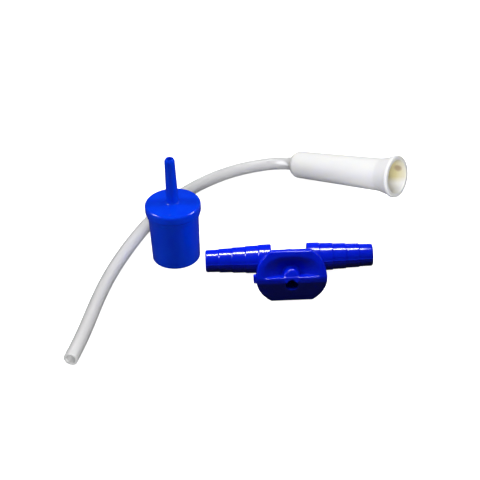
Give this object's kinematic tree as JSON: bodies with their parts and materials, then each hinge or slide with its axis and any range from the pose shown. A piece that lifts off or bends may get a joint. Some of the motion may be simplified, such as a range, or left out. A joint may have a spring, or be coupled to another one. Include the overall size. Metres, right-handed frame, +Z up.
{
  "type": "meconium aspirator",
  "caption": "Newborn airway suction kit laid apart: adapter cap with spigot, barbed fingertip control with thumb pad, suction tube and funnel connector.",
  "frame": {"origin": "on the table top, under the middle of the box round the three rigid mouldings, the tube not counted", "axes": "+Z up from the table; +X along the funnel connector towards its mouth; +Y level, away from the adapter cap towards the connector"},
  "size_m": [0.0886, 0.146, 0.0413],
  "materials": {
    "blue_plastic": "glossy moulded royal blue plastic",
    "white_vinyl": "satin soft white vinyl",
    "clear_vinyl": "smooth translucent vinyl tubing"
  },
  "bodies": {
    "root": {"tube_adapter": "blue_plastic", "fingertip_control": "blue_plastic", "funnel_connector": "white_vinyl", "suction_tube": "clear_vinyl"}
  },
  "joints": []
}
